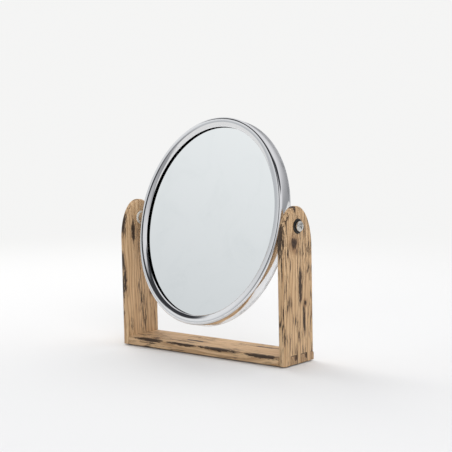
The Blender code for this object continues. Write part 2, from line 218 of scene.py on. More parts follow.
def grain_space(shader, along, across, through, share):
    """Coordinates whose pattern is drawn out along the grain: share is its frequency there."""
    return shader.join(shader.math("MULTIPLY", along, share), across, through)


def push_round_knot(shader, along, across, knot):
    """Grain lines part round a knot, less with the distance along the board."""
    knot_along, knot_across, size = knot
    aside = shader.math("SUBTRACT", across, knot_across)
    far = shader.math("DIVIDE", shader.math("SUBTRACT", along, knot_along), size * 2.2)
    near = shader.math("DIVIDE", aside, size)
    spread = shader.math("ADD", shader.math("MULTIPLY", far, far), shader.math("MULTIPLY", near, near))
    push = shader.math("DIVIDE", aside, shader.math("ADD", spread, 0.45))
    return shader.math("SUBTRACT", across, shader.math("MULTIPLY", push, 0.75))


def knot_disc(shader, along, across, knot):
    """How near a point is to a knot's middle, in knot sizes, with a rough edge."""
    knot_along, knot_across, size = knot
    up = shader.math("DIVIDE", shader.math("SUBTRACT", along, knot_along), size * 1.25)
    aside = shader.math("DIVIDE", shader.math("SUBTRACT", across, knot_across), size)
    squared = shader.math("ADD", shader.math("MULTIPLY", up, up), shader.math("MULTIPLY", aside, aside))
    spikes = shader.noise(shader.join(shader.math("MULTIPLY", along, 0.22), across, 0.0), 900.0, 3.0, 0.6)
    return shader.math("ADD", shader.math("SQRT", squared), shader.math("MULTIPLY", spikes, 1.3))


def joint_lines(shader, x, y, z):
    """Two masks, 1 or 0: the glue lines round the base's fingers in a post, and the fingers' end grain."""
    depth = 2 * abs(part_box("base_board")[0].y)
    base_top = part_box("base_board")[1].z
    post_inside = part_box("right_post")[0].x
    place = shader.math("SUBTRACT", y, (FINGER_START - 0.5) * depth)
    repeat = shader.math("FLOORED_MODULO", place, FINGER_PITCH * depth)
    in_finger = shader.math("LESS_THAN", repeat, FINGER_WIDTH * depth)
    in_finger = shader.math("MULTIPLY", in_finger, shader.math("GREATER_THAN", place, 0.0))
    to_start = shader.math("PINGPONG", place, FINGER_PITCH * depth / 2)
    past_finger = shader.math("SUBTRACT", place, FINGER_WIDTH * depth)
    to_end = shader.math("PINGPONG", past_finger, FINGER_PITCH * depth / 2)
    edge = shader.math("MINIMUM", to_start, to_end)
    below = shader.math("LESS_THAN", z, base_top + GLUE_LINE)
    side = shader.math("MULTIPLY", shader.math("LESS_THAN", edge, GLUE_LINE), below)
    side = shader.math("MULTIPLY", side, shader.math("GREATER_THAN", place, -GLUE_LINE))
    over = shader.math("LESS_THAN", shader.math("ABSOLUTE", shader.math("SUBTRACT", z, base_top)), GLUE_LINE)
    over = shader.math("MULTIPLY", over, in_finger)
    outside = shader.math("GREATER_THAN", shader.math("ABSOLUTE", x), post_inside + 1 * MM)
    line = shader.math("MULTIPLY", shader.math("MAXIMUM", side, over), outside)
    end_grain = shader.math("MULTIPLY", shader.math("MULTIPLY", in_finger, below), outside)
    return line, end_grain


def dark_marks_and_painted_shade(shader, marks, grain_axis):
    """Ragged dark places in the wood, partly dark streaks and partly painted shade along front edges: each
    has a centre and a half length on every axis, in mm.
    """
    stretch = (1.0, 1.0, 0.16) if grain_axis == "Z" else (0.16, 1.0, 1.0)
    ragged = shader.noise(shader.vector("MULTIPLY", shader.position, stretch), 900.0, 4.0, 0.65)
    together = 0.0
    for centre, half in marks:
        away = shader.vector("SUBTRACT", shader.position, tuple(v * MM for v in centre))
        scaled = shader.vector("MULTIPLY", away, tuple(1 / (v * MM) for v in half))
        near = shader.math("ADD", shader.vector("LENGTH", scaled), shader.math("MULTIPLY", ragged, 2.2))
        together = shader.math("MAXIMUM", together, shader.ramp(near, 1.72, 2.12, 1.0, 0.0))
    return together


def wood(name, grain_axis, knots, marks, slab, clear):
    """Brushed softwood as a solid texture whose rings, pores and dark streaks run along grain_axis.

    slab says which part of the plank the piece is cut from, and clear thins its dark streaks.
    """
    shader = Shader(name)
    x, y, z = shader.split(shader.position)
    along, through = (z, x) if grain_axis == "Z" else (x, z)
    across = y
    for knot in knots:
        across = push_round_knot(shader, along, across, knot)
    along = shader.math("ADD", along, slab)
    across = shader.math("ADD", across, slab * 3)

    sway = shader.noise(grain_space(shader, along, across, through, 0.25), 38.0, 2.0)
    place = shader.math("ADD", across, shader.math("MULTIPLY", through, 0.45))
    place = shader.math("ADD", place, shader.math("MULTIPLY", sway, 0.020))
    phase = shader.math("FRACT", shader.math("MULTIPLY", place, 260.0))
    late_wood = shader.math("SUBTRACT", shader.ramp(phase, 0.30, 0.92), shader.ramp(phase, 0.92, 1.0))

    fibre = shader.noise(grain_space(shader, along, across, through, 0.030), 1900.0, 3.0, 0.6)
    streak = shader.noise(grain_space(shader, along, across, through, 0.045), 520.0, 4.0, 0.6)
    dash = shader.noise(grain_space(shader, along, across, through, 0.075), 830.0, 3.0, 0.6)
    patch = shader.noise(grain_space(shader, along, across, through, 0.30), 82.0, 3.0, 0.6)
    patch = shader.ramp(patch, 0.39 + clear, 0.56 + clear)
    dark = shader.math("MULTIPLY", shader.ramp(dash, 0.52, 0.59), patch)
    # Adds the listed dark places: dark streaks, and painted shade along some front edges
    dark = shader.math("MAXIMUM", dark, dark_marks_and_painted_shade(shader, marks, grain_axis))

    colour = shader.mix(shader.ramp(streak, 0.30, 0.70), (0.71, 0.49, 0.285), (0.56, 0.365, 0.198))
    colour = shader.mix(shader.math("MULTIPLY", late_wood, 0.55), colour, (0.30, 0.155, 0.065))
    colour = shader.mix(shader.ramp(fibre, 0.52, 0.78, 0.0, 0.45), colour, (0.20, 0.10, 0.045))
    colour = shader.mix(shader.math("MULTIPLY", dark, 0.95), colour, (0.030, 0.017, 0.011))
    for knot in knots:
        near = knot_disc(shader, shader.math("SUBTRACT", along, slab), y, knot)
        rings = shader.math("SINE", shader.math("MULTIPLY", near, 12.0))
        heart = shader.ramp(near, 1.25, 1.60, 0.96, 0.0)
        colour = shader.mix(shader.ramp(near, 1.3, 2.8, 0.6, 0.0), colour, (0.20, 0.095, 0.042))
        colour = shader.mix(heart, colour, (0.030, 0.016, 0.010))
        ring_mark = shader.math("MULTIPLY", shader.ramp(rings, 0.3, 1.0, 0.0, 0.6), heart)
        colour = shader.mix(ring_mark, colour, (0.12, 0.06, 0.03))
    line, end_grain = joint_lines(shader, x, y, z)
    if grain_axis == "X":
        colour = shader.mix(shader.math("MULTIPLY", end_grain, 0.42), colour, (0.16, 0.085, 0.042))
    colour = shader.mix(shader.math("MULTIPLY", line, 0.85), colour, (0.035, 0.019, 0.012))

    relief = shader.math("MULTIPLY", late_wood, 0.45)
    relief = shader.math("ADD", relief, shader.math("MULTIPLY", fibre, 0.35))
    relief = shader.math("SUBTRACT", relief, shader.math("MULTIPLY", dark, 0.9))
    shader.set(
        Base_Color=colour,
        Roughness=shader.ramp(streak, 0.2, 0.8, 0.50, 0.68),
        Normal=shader.bump(relief, 0.00022, 0.9),
        Specular_IOR_Level=0.35,
    )
    return shader


def polished_metal(name):
    """Chrome-bright rolled metal with faint handling marks and a very slight waviness."""
    shader = Shader(name)
    smudge = shader.noise(shader.position, 70.0, 4.0, 0.6)
    fine = shader.noise(shader.position, 260.0, 2.0, 0.5)
    rough = shader.ramp(smudge, 0.45, 0.75, 0.055, 0.13)
    rough = shader.math("ADD", rough, shader.math("MULTIPLY", fine, 0.02))
    wave = shader.noise(shader.position, 60.0, 1.0, 0.4)
    shader.set(
        Base_Color=shader.mix(smudge, (0.80, 0.80, 0.81), (0.74, 0.745, 0.755)),
        Metallic=1.0,
        Roughness=rough,
        Normal=shader.bump(wave, 0.00006, 0.5),
    )
    return shader


def silvered_glass(name):
    """Mirror glass: clean silver with the faintest haze of wiped marks."""
    shader = Shader(name)
    x, _, z = shader.split(shader.position)
    drawn_out = shader.join(x, 0.0, z)
    haze = shader.noise(drawn_out, 26.0, 5.0, 0.62, 0.8)
    shader.set(
        Base_Color=shader.mix(shader.ramp(haze, 0.45, 0.8), (0.90, 0.925, 0.925), (0.86, 0.89, 0.89)),
        Metallic=1.0,
        Roughness=shader.ramp(haze, 0.50, 0.85, 0.006, 0.045),
    )
    return shader


def plated_steel(name):
    """Zinc-plated steel, cloudy and a little grainy."""
    shader = Shader(name)
    grain = shader.noise(shader.position, 2600.0, 2.0, 0.6)
    cloud = shader.noise(shader.position, 320.0, 3.0, 0.6)
    shader.set(
        Base_Color=shader.mix(cloud, (0.66, 0.655, 0.63), (0.52, 0.51, 0.48)),
        Metallic=1.0,
        Roughness=shader.ramp(cloud, 0.3, 0.7, 0.20, 0.36),
        Normal=shader.bump(grain, 0.00003, 0.5),
    )
    return shader


def black_steel(name):
    """Blackened steel, a little bare where it is handled."""
    shader = Shader(name)
    cloud = shader.noise(shader.position, 420.0, 4.0, 0.65)
    shader.set(
        Base_Color=shader.mix(shader.ramp(cloud, 0.55, 0.8), (0.032, 0.031, 0.030), (0.12, 0.115, 0.11)),
        Metallic=0.85,
        Roughness=shader.ramp(cloud, 0.3, 0.7, 0.30, 0.46),
        Normal=shader.bump(cloud, 0.00005, 0.5),
    )
    return shader


def moulded(name, light, dark, roughness, grain_scale, depth):
    """Moulded plastic, rubber or foam: a mottled colour and a fine surface grain."""
    shader = Shader(name)
    mottle = shader.noise(shader.position, grain_scale / 6.0, 3.0, 0.6)
    grain = shader.noise(shader.position, grain_scale, 3.0, 0.6)
    shader.set(
        Base_Color=shader.mix(mottle, light, dark),
        Roughness=shader.ramp(mottle, 0.3, 0.7, roughness - 0.06, roughness + 0.06),
        Normal=shader.bump(grain, depth, 0.6),
    )
    return shader


# ---------------------------------------------------------------- mesh helpers

def node_points(node):
    return np.array([vert.co[:] for vert in frame["nodes"][node].data.vertices], float)


def mirror_directions():
    """The mirror's own right, up and facing directions at rest, from the flat front glass."""
    points = node_points("front_glass")
    spread = points - points.mean(axis=0)
    facing = Vector(np.linalg.svd(spread, full_matrices=False)[2][2])
    if facing.y > 0:
        facing.negate()
    right = Vector((1.0, 0.0, 0.0))
    return right, facing.cross(right).normalized(), facing


def reach(node, direction):
    """The lowest and highest distance from the hinge along a direction that a CAD node has."""
    distances = (node_points(node) - np.array(HINGE)) @ np.array(direction)
    return float(distances.min()), float(distances.max())


def quarter_turn(steps):
    """The angles of a quarter circle, from 0 to 90 degrees, in equal steps."""
    return [radians(90 * i / steps) for i in range(steps + 1)]


def new_piece(name, bm, place=None):
    """A mesh object at the origin whose mesh is moved to its place, so that it lies in the frame's axes."""
    if bm.calc_volume(signed=True) < 0:
        bmesh.ops.reverse_faces(bm, faces=bm.faces)
    mesh = bpy.data.meshes.new(name)
    bm.to_mesh(mesh)
    bm.free()
    if place is not None:
        mesh.transform(place)
    obj = bpy.data.objects.new(name, mesh)
    bpy.context.scene.collection.objects.link(obj)
    return obj


def smooth(obj, sharp_angle=30.0):
    for polygon in obj.data.polygons:
        polygon.use_smooth = True
    obj.data.set_sharp_from_angle(angle=radians(sharp_angle))
    return obj


def bridge(bm, loops, closed_across=False):
    """Quads between neighbouring loops of vertices, each loop closed on itself."""
    pairs = list(zip(loops, loops[1:]))
    if closed_across:
        pairs.append((loops[-1], loops[0]))
    for first, second in pairs:
        count = len(first)
        for i in range(count):
            j = (i + 1) % count
            bm.faces.new((first[i], first[j], second[j], second[i]))


def fill_between(bm, loops):
    """Bridges the loops, closes both ends and turns all faces outwards."""
    bridge(bm, loops)
    bm.faces.new(loops[0])
    bm.faces.new(list(reversed(loops[-1])))
    bmesh.ops.recalc_face_normals(bm, faces=bm.faces)


def carve(obj, cutters):
    """Cuts each cutter out of the object for good, and removes the cutters."""
    for cutter in cutters:
        boolean = obj.modifiers.new("Cut", "BOOLEAN")
        boolean.operation = "DIFFERENCE"
        boolean.solver = "EXACT"
        boolean.object = cutter
    evaluated = obj.evaluated_get(bpy.context.evaluated_depsgraph_get())
    mesh = bpy.data.meshes.new_from_object(evaluated)
    obj.modifiers.clear()
    obj.data = mesh
    for cutter in cutters:
        bpy.data.objects.remove(cutter)
    return obj


def box_cutter(low, high):
    bm = bmesh.new()
    bmesh.ops.create_cube(bm, size=1.0)
    for vert in bm.verts:
        for axis in range(3):
            share = vert.co[axis] + 0.5
            vert.co[axis] = low[axis] * (1 - share) + high[axis] * share
    return new_piece("cutter", bm)


def rod_cutter(x_low, x_high, radius):
    """A rod along X on the hinge line."""
    bm = bmesh.new()
    length = x_high - x_low
    bmesh.ops.create_cone(bm, cap_ends=True, segments=64, radius1=radius, radius2=radius, depth=length)
    middle = Matrix.Translation(((x_low + x_high) / 2, HINGE.y, HINGE.z))
    return new_piece("cutter", bm, middle @ Matrix.Rotation(radians(90), 4, "Y"))


# ---------------------------------------------------------------- wooden stand

def finger_spans(depth):
    """The base's fingers as (front, back) along Y; the last ends flush with the back edge."""
    spans = []
    for i in range(FINGER_COUNT):
        front = -depth / 2 + (FINGER_START + FINGER_PITCH * i) * depth
        spans.append((front, min(front + FINGER_WIDTH * depth, depth / 2)))
    return spans


def post_outline(depth, bottom, top, inset):
    """The post's edge from the bottom front corner over the arch to the bottom back corner."""
    half = depth / 2
    spring = top - ARCH_HEIGHT
    points = [(-half + inset, bottom), (-half + inset, (bottom + spring) / 2)]
    for i in range(ARCH_STEPS + 1):
        angle = pi * (1 - i / ARCH_STEPS)
        normal = Vector((ARCH_HEIGHT * cos(angle), half * sin(angle))).normalized()
        points.append((
            half * cos(angle) - inset * normal.x,
            spring + ARCH_HEIGHT * sin(angle) - inset * normal.y,
        ))
    points += [(half - inset, (bottom + spring) / 2), (half - inset, bottom)]
    return points


def make_post(name, material):
    """A post with an arched top, rounded edges, a pivot hole and slots for the base's fingers."""
    low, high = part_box(name)
    depth = high.y - low.y
    bm = bmesh.new()
    loops = []
    arc = quarter_turn(ROUNDOVER_STEPS)
    sections = [(low.x + ROUNDOVER * (1 - cos(a)), ROUNDOVER * (1 - sin(a))) for a in arc]
    sections += [(high.x - ROUNDOVER * (1 - cos(a)), ROUNDOVER * (1 - sin(a))) for a in reversed(arc)]
    for x, inset in sections:
        loops.append([bm.verts.new((x, y, z)) for y, z in post_outline(depth, low.z, high.z, inset)])
    fill_between(bm, loops)
    post = new_piece(name + "_board", bm)
    base_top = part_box("base_board")[1].z
    cutters = [rod_cutter(low.x - CUT_MARGIN, high.x + CUT_MARGIN, HOLE_RADIUS)]
    for front, back in finger_spans(depth):
        reach_back = CUT_MARGIN if back > depth / 2 - 1 * MM else JOINT_GAP
        cutters.append(box_cutter(
            (low.x - CUT_MARGIN, front - JOINT_GAP, low.z - CUT_MARGIN),
            (high.x + CUT_MARGIN, back + reach_back, base_top + JOINT_GAP),
        ))
    smooth(carve(post, cutters))
    material.finish(post, "wood")
    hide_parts(name)
    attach(post, "stand")


def make_base(material):
    """The base board, rounded along its top edges, with its fingers a hair below the posts' faces."""
    low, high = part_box("base_board")
    depth = high.y - low.y
    arc = [
        (BASE_ROUNDOVER * (1 - cos(a)), BASE_ROUNDOVER * (1 - sin(a)))
        for a in quarter_turn(ROUNDOVER_STEPS)
    ]
    section = [(low.y + inwards, high.z - down) for inwards, down in arc]
    section += [(high.y - inwards, high.z - down) for inwards, down in reversed(arc)]
    section += [
        (high.y, low.z + BASE_EASE),
        (high.y - BASE_EASE, low.z),
        (low.y + BASE_EASE, low.z),
        (low.y, low.z + BASE_EASE),
    ]
    bm = bmesh.new()
    loops = []
    length = high.x - low.x - 2 * FINGERS_BELOW_FACE
    for i in range(BASE_STATIONS):
        x = low.x + FINGERS_BELOW_FACE + length * i / (BASE_STATIONS - 1)
        loops.append([bm.verts.new((x, y, z)) for y, z in section])
    fill_between(bm, loops)
    board = new_piece("base_board_plank", bm)
    edges = [low.y - CUT_MARGIN]
    for front, back in finger_spans(depth):
        edges += [front, back]
    cutters = []
    for side in (-1, 1):
        post_low, post_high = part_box("left_post" if side < 0 else "right_post")
        shoulder = (post_high.x + JOINT_GAP) if side < 0 else (post_low.x - JOINT_GAP)
        end = side * (high.x + CUT_MARGIN)
        for front, back in zip(edges[0:-1:2], edges[1::2]):
            cutters.append(box_cutter(
                (min(shoulder, end), front, low.z - CUT_MARGIN),
                (max(shoulder, end), back, high.z + CUT_MARGIN),
            ))
    smooth(carve(board, cutters))
    material.finish(board, "wood")
    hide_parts("base_board")
    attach(board, "stand")


# ---------------------------------------------------------------- mirror

def ring_of(bm, inset, height):
    """One loop of vertices round the oval, a constant distance inside its outline."""
    loop = []
    for i in range(RIM_STEPS):
        angle = 2 * pi * i / RIM_STEPS
        normal = Vector((RIM_HALF_HEIGHT * cos(angle), RIM_HALF_WIDTH * sin(angle))).normalized()
        loop.append(bm.verts.new((
            RIM_HALF_WIDTH * cos(angle) - inset * normal.x,
            RIM_HALF_HEIGHT * sin(angle) - inset * normal.y,
            height,
        )))
    return loop


def lip_points(crest):
    """The outside of a lip, from the side wall to its rolled inner edge, for a crest at this height."""
    points = [
        (CREST_INSET * (1 - cos(a)), crest - CREST_ROUND * (1 - sin(a)))
        for a in quarter_turn(CREST_STEPS)
    ]
    inset, height = points[-1]
    for length, first_slope, last_slope, steps in LIP_ROLL:
        for i in range(1, steps + 1):
            share = i / steps
            slope = first_slope + (last_slope - first_slope) * share / 2
            points.append((inset + length * share, height - length * share * slope))
        inset, height = points[-1]
    return points


def make_ring(name, section):
    """An oval ring from its closed section, as (inset, height) points."""
    bm = bmesh.new()
    loops = [ring_of(bm, inset, height) for inset, height in section]
    bridge(bm, loops, closed_across=True)
    bmesh.ops.recalc_face_normals(bm, faces=bm.faces)
    return new_piece(name, bm, MIRROR)


def make_rim(material):
    """The band with its front lip, one rolled piece."""
    back = RIM_SEAM + SEAM
    inside = reach("front_glass", FACING)[1] + GLASS_ROOM
    section = [(SEAM_BEVEL, back), (0.0, back + SEAM_BEVEL)] + lip_points(RIM_FRONT)
    section += [
        (LIP_WIDTH, RIM_FRONT - LIP_DROP - LIP_CORNER),
        (LIP_WIDTH - LIP_UNDERCUT, inside),
        (RIM_WALL, inside),
        (RIM_WALL, back),
    ]
    rim = make_ring("rim_band", section)
    outside_wall = RIM_HALF_WIDTH + CUT_MARGIN
    inside_wall = RIM_HALF_WIDTH - 2 * CUT_MARGIN
    cutters = [
        rod_cutter(-outside_wall, -inside_wall, HOLE_RADIUS),
        rod_cutter(inside_wall, outside_wall, HOLE_RADIUS),
    ]
    smooth(carve(rim, cutters), LIP_SHARP_ANGLE)
    material.finish(rim, "polished_metal")
    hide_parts("mirror_rim")
    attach(rim, "mirror")


def make_rear_lip(material):
    """The rear lip mirrors the front one and carries the plug that fits into the band."""
    front = RIM_SEAM - SEAM
    plug_front = reach("rear_bezel", FACING)[1]
    inside = reach("rear_glass", FACING)[0] - GLASS_ROOM
    section = [(SEAM_BEVEL, front), (0.0, front - SEAM_BEVEL)]
    section += [(inset, -height) for inset, height in lip_points(RIM_BACK)]
    section += [
        (LIP_WIDTH, -RIM_BACK + LIP_DROP + LIP_CORNER),
        (LIP_WIDTH - LIP_UNDERCUT, inside),
        (PLUG_INSET + PLUG_WALL, inside),
        (PLUG_INSET + PLUG_WALL, plug_front),
        (PLUG_INSET, plug_front),
        (PLUG_INSET, front),
    ]
    bezel = make_ring("rear_lip", section)
    smooth(bezel, LIP_SHARP_ANGLE)
    material.finish(bezel, "polished_metal")
    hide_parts("rear_bezel")
    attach(bezel, "mirror")


def make_front_glass(material):
    """Flat glass with a ground edge; its silver is seen a little behind its face."""
    back, face = reach("front_glass", FACING)
    face -= SILVER_DEPTH
    inset = RIM_HALF_WIDTH - reach("front_glass", RIGHT)[1]
    ground = GROUND_SHARE * (face - back)
    bm = bmesh.new()
    loops = [
        ring_of(bm, inset + ground, face),
        ring_of(bm, inset, face - ground),
        ring_of(bm, inset, back + ground),
        ring_of(bm, inset + ground, back),
    ]
    fill_between(bm, loops)
    glass = smooth(new_piece("front_mirror_glass", bm, MIRROR))
    material.finish(glass, "mirror_glass")
    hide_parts("front_glass")
    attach(glass, "mirror")


def make_rear_glass(material):
    """Magnifying glass, dished towards the middle of the mirror."""
    low, high = reach("rear_glass", FACING)
    inset = RIM_HALF_WIDTH - reach("rear_glass", RIGHT)[1]
    dish = high - low - GLASS_THICKNESS
    low += SILVER_DEPTH
    bm = bmesh.new()
    edges = []
    for offset in (0.0, GLASS_THICKNESS - SILVER_DEPTH):
        loops = []
        for i in range(DISH_RINGS):
            share = 1 - i / DISH_RINGS
            height = low + offset + dish * (1 - share ** 2)
            loops.append([
                bm.verts.new((
                    (RIM_HALF_WIDTH - inset) * share * cos(2 * pi * k / RIM_STEPS),
                    (RIM_HALF_HEIGHT - inset) * share * sin(2 * pi * k / RIM_STEPS),
                    height,
                ))
                for k in range(RIM_STEPS)
            ])
        bridge(bm, loops)
        middle = bm.verts.new((0.0, 0.0, low + offset + dish))
        for k in range(RIM_STEPS):
            bm.faces.new((loops[-1][k], loops[-1][(k + 1) % RIM_STEPS], middle))
        edges.append(loops[0])
    bridge(bm, edges)
    bmesh.ops.recalc_face_normals(bm, faces=bm.faces)
    glass = smooth(new_piece("rear_mirror_glass", bm, MIRROR))
    material.finish(glass, "mirror_glass")
    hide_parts("rear_glass")
    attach(glass, "mirror")


# ---------------------------------------------------------------- pivots and feet

def turned(name, profile, closed, place, steps=72):
    """A round piece about its own Z, from (radius, height) points down its outer side."""
    bm = bmesh.new()
    loops = []
    for radius, height in profile:
        if radius == 0.0:
            loops.append([bm.verts.new((0.0, 0.0, height))])
            continue
        loops.append([
            bm.verts.new((radius * cos(2 * pi * i / steps), radius * sin(2 * pi * i / steps), height))
            for i in range(steps)
        ])
    pairs = list(zip(loops, loops[1:]))
    if closed:
        pairs.append((loops[-1], loops[0]))
    for first, second in pairs:
        for i in range(steps):
            j = (i + 1) % steps
            corners = []
            for loop, index in ((first, i), (first, j), (second, j), (second, i)):
                vert = loop[index % len(loop)]
                if vert not in corners:
                    corners.append(vert)
            bm.faces.new(corners)
    bmesh.ops.recalc_face_normals(bm, faces=bm.faces)
    return new_piece(name, bm, place)


def on_hinge(side, distance):
    """Stands a turned piece's height along X, outwards from a distance on the hinge line."""
    place = Matrix.Translation((side * distance, HINGE.y, HINGE.z))
    return place @ Matrix.Rotation(side * radians(90), 4, "Y")


def eased_ring(inner, outer, height, ease, steps=4):
    """The closed section of a washer or sleeve with rounded outer corners."""
    arc = quarter_turn(steps)
    points = [(inner, height)]
    points += [(outer - ease * (1 - sin(a)), height - ease * (1 - cos(a))) for a in arc]
    points += [(outer - ease * (1 - cos(a)), ease * (1 - sin(a))) for a in arc]
    points.append((inner, 0.0))
    return points


def span_on_x(node):
    """How far from the middle a CAD node on the hinge line starts and ends."""
    low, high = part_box(node)
    return min(abs(low.x), abs(high.x)), max(abs(low.x), abs(high.x))


def node_radius(node):
    low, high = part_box(node)
    return (high.z - low.z) / 2


def make_washer(name, node, side, body, ease, material, slot):
    """A flat washer or a sleeve on the hinge line."""
    start, end = span_on_x(node)
    profile = eased_ring(HOLE_RADIUS, node_radius(node), end - start, ease)
    washer = smooth(turned(name, profile, True, on_hinge(side, start)), 40.0)
    material.finish(washer, slot)
    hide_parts(node)
    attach(washer, body)


def make_cup_washer(name, node, side, material):
    """A finishing washer: a low cone with a rolled outer edge."""
    start, end = span_on_x(node)
    radius = node_radius(node)
    height = end - start
    profile = [(HOLE_RADIUS, height)]
    profile += [(radius - CUP_CONE * (1 - sin(a)), height * cos(a)) for a in quarter_turn(8)]
    profile.append((HOLE_RADIUS, 0.0))
    washer = smooth(turned(name, profile, True, on_hinge(side, start)), 40.0)
    material.finish(washer, "dark_steel")
    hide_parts(node)
    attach(washer, "stand")


def recess_cutter(height, place):
    """Two crossed wedges that narrow towards the bottom of a cross recess."""
    cutters = []
    for turn in (0, 90):
        bm = bmesh.new()
        bmesh.ops.create_cube(bm, size=1.0)
        for vert in bm.verts:
            top = vert.co.z > 0
            vert.co.x *= (6.0 if top else 2.4) * MM
            vert.co.y *= (1.25 if top else 0.7) * MM
            vert.co.z = height + 0.3 * MM if top else height - RECESS_DEPTH
        cutters.append(new_piece("cutter", bm, place @ Matrix.Rotation(radians(turn), 4, "Z")))
    return cutters


def make_screw(name, node, side, turn, material):
    """A pan-head screw with a cross recess and a threaded end."""
    start, end = span_on_x(node)
    head_radius = node_radius(node)
    seat = end - HEAD_HEIGHT
    tip = start - seat
    profile = [(0.0, HEAD_HEIGHT)]
    for angle in quarter_turn(12)[1:-1]:
        dome = HEAD_RIM + (1 - HEAD_RIM) * cos(angle) ** 0.9
        profile.append((head_radius * sin(angle) ** 0.8, HEAD_HEIGHT * dome))
    profile += [
        (head_radius, HEAD_HEIGHT * HEAD_RIM),
        (head_radius, HEAD_EASE),
        (head_radius - HEAD_EASE, 0.0),
        (SHANK_RADIUS, 0.0),
        (SHANK_RADIUS, THREAD_START),
    ]
    thread_end = tip + 0.8 * MM
    for i in range(int((THREAD_START - thread_end) / THREAD_PITCH)):
        height = THREAD_START - THREAD_PITCH * i
        profile += [
            (SHANK_RADIUS - THREAD_DEPTH, height - THREAD_PITCH * 0.45),
            (SHANK_RADIUS, height - THREAD_PITCH * 0.9),
        ]
    profile += [(SHANK_RADIUS - 0.5 * MM, tip), (0.0, tip)]
    place = on_hinge(side, seat) @ Matrix.Rotation(radians(turn), 4, "Z")
    screw = turned(name, profile, False, place)
    smooth(carve(screw, recess_cutter(HEAD_HEIGHT, place)), 35.0)
    material.finish(screw, "plated_steel")
    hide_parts(node)
    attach(screw, "mirror")


def make_foot(node, material):
    """A round pad under the base, with a rounded lower edge."""
    low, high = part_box(node)
    centre = (low + high) / 2
    radius = (high.x - low.x) / 2
    height = high.z - low.z
    profile = [(0.0, height)]
    profile += [(radius - FOOT_ROUND * (1 - cos(a)), height * (1 - sin(a))) for a in quarter_turn(6)]
    profile.append((0.0, 0.0))
    place = Matrix.Translation((centre.x, centre.y, low.z))
    foot = smooth(turned(node + "_bumper", profile, False, place, 48), 40.0)
    material.finish(foot, "rubber")
    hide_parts(node)
    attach(foot, "stand")


def dress_cad_node(node, shader):
    """A hidden inner piece keeps its CAD mesh and gets a finished material."""
    shader.dress(frame["nodes"][node])


# ---------------------------------------------------------------- studio

def make_floor():
    """A floor that fades into the backdrop away from the object."""
    bm = bmesh.new()
    bmesh.ops.create_grid(bm, x_segments=1, y_segments=1, size=FLOOR_HALF_SIZE)
    mesh = bpy.data.meshes.new("floor")
    bm.to_mesh(mesh)
    bm.free()
    floor = bpy.data.objects.new("floor", mesh)
    bpy.context.scene.collection.objects.link(floor)
    shader = Shader("pale_floor")
    shader.set(Base_Color=FLOOR_COLOUR, Roughness=0.75)
    x, y, _ = shader.split(shader.position)
    squared = shader.math("ADD", shader.math("MULTIPLY", x, x), shader.math("MULTIPLY", y, y))
    fade = shader.ramp(shader.math("SQRT", squared), *FLOOR_FADE)
    glow = shader.tree.nodes.new("ShaderNodeEmission")
    glow.inputs["Color"].default_value = (*BACKDROP, 1.0)
    mixer = shader.tree.nodes.new("ShaderNodeMixShader")
    output = shader.tree.nodes["Material Output"]
    shader.tree.links.new(fade, mixer.inputs["Fac"])
    shader.tree.links.new(shader.surface.outputs[0], mixer.inputs[1])
    shader.tree.links.new(glow.outputs[0], mixer.inputs[2])
    shader.tree.links.new(mixer.outputs[0], output.inputs["Surface"])
    floor.data.materials.append(shader.material)


def make_world():
    """A plain pale backdrop, and a soft studio of light and shade for the metal to reflect."""
    world = bpy.data.worlds.new("studio")
    bpy.context.scene.world = world
    world.use_nodes = True
    tree = world.node_tree
    background = tree.nodes["Background"]
    shader = Nodes(tree)
    direction = tree.nodes.new("ShaderNodeTexCoord").outputs["Generated"]
    x, y, z = shader.split(direction)
    studio = shader.mix(shader.ramp(z, 0.0, 0.50), (0.36, 0.365, 0.38), (0.88, 0.88, 0.90))
    window = shader.math("MULTIPLY", shader.ramp(x, -0.44, -0.54), shader.ramp(y, 0.55, 0.15))
    pane = shader.mix(shader.ramp(z, 0.10, 0.46), (0.60, 0.62, 0.64), (0.93, 0.94, 0.95))
    studio = shader.mix(window, studio, pane)
    flag = shader.math("MULTIPLY", shader.ramp(x, -0.54, -0.44), shader.ramp(x, -0.10, -0.20))
    shade = shader.math("MULTIPLY", flag, shader.ramp(z, 0.06, 0.24))
    shade = shader.math("MAXIMUM", shade, shader.ramp(z, 0.56, 0.66))
    shade = shader.math("MULTIPLY", shade, shader.ramp(y, 0.15, -0.15))
    shade = shader.math("MULTIPLY", shade, shader.ramp(z, 0.93, 0.84))
    studio = shader.mix(shade, studio, (0.045, 0.047, 0.052))
    path = tree.nodes.new("ShaderNodeLightPath")
    colour = shader.mix(path.outputs["Is Camera Ray"], studio, BACKDROP)
    tree.links.new(colour, background.inputs["Color"])
    background.inputs["Strength"].default_value = 1.0


def add_area_light(name, place, size, power, colour):
    """A soft disc aimed at the object, which the metal and the glass don't reflect."""
    light = bpy.data.lights.new(name, "AREA")
    light.shape = "DISK"
    light.size = size
    light.energy = power
    light.color = colour
    obj = bpy.data.objects.new(name, light)
    bpy.context.scene.collection.objects.link(obj)
    obj.visible_glossy = False
    obj.location = place
    aim = Vector((0.0, 0.0, LIGHT_AIM_HEIGHT)) - Vector(place)
    obj.rotation_euler = aim.to_track_quat("-Z", "Y").to_euler()


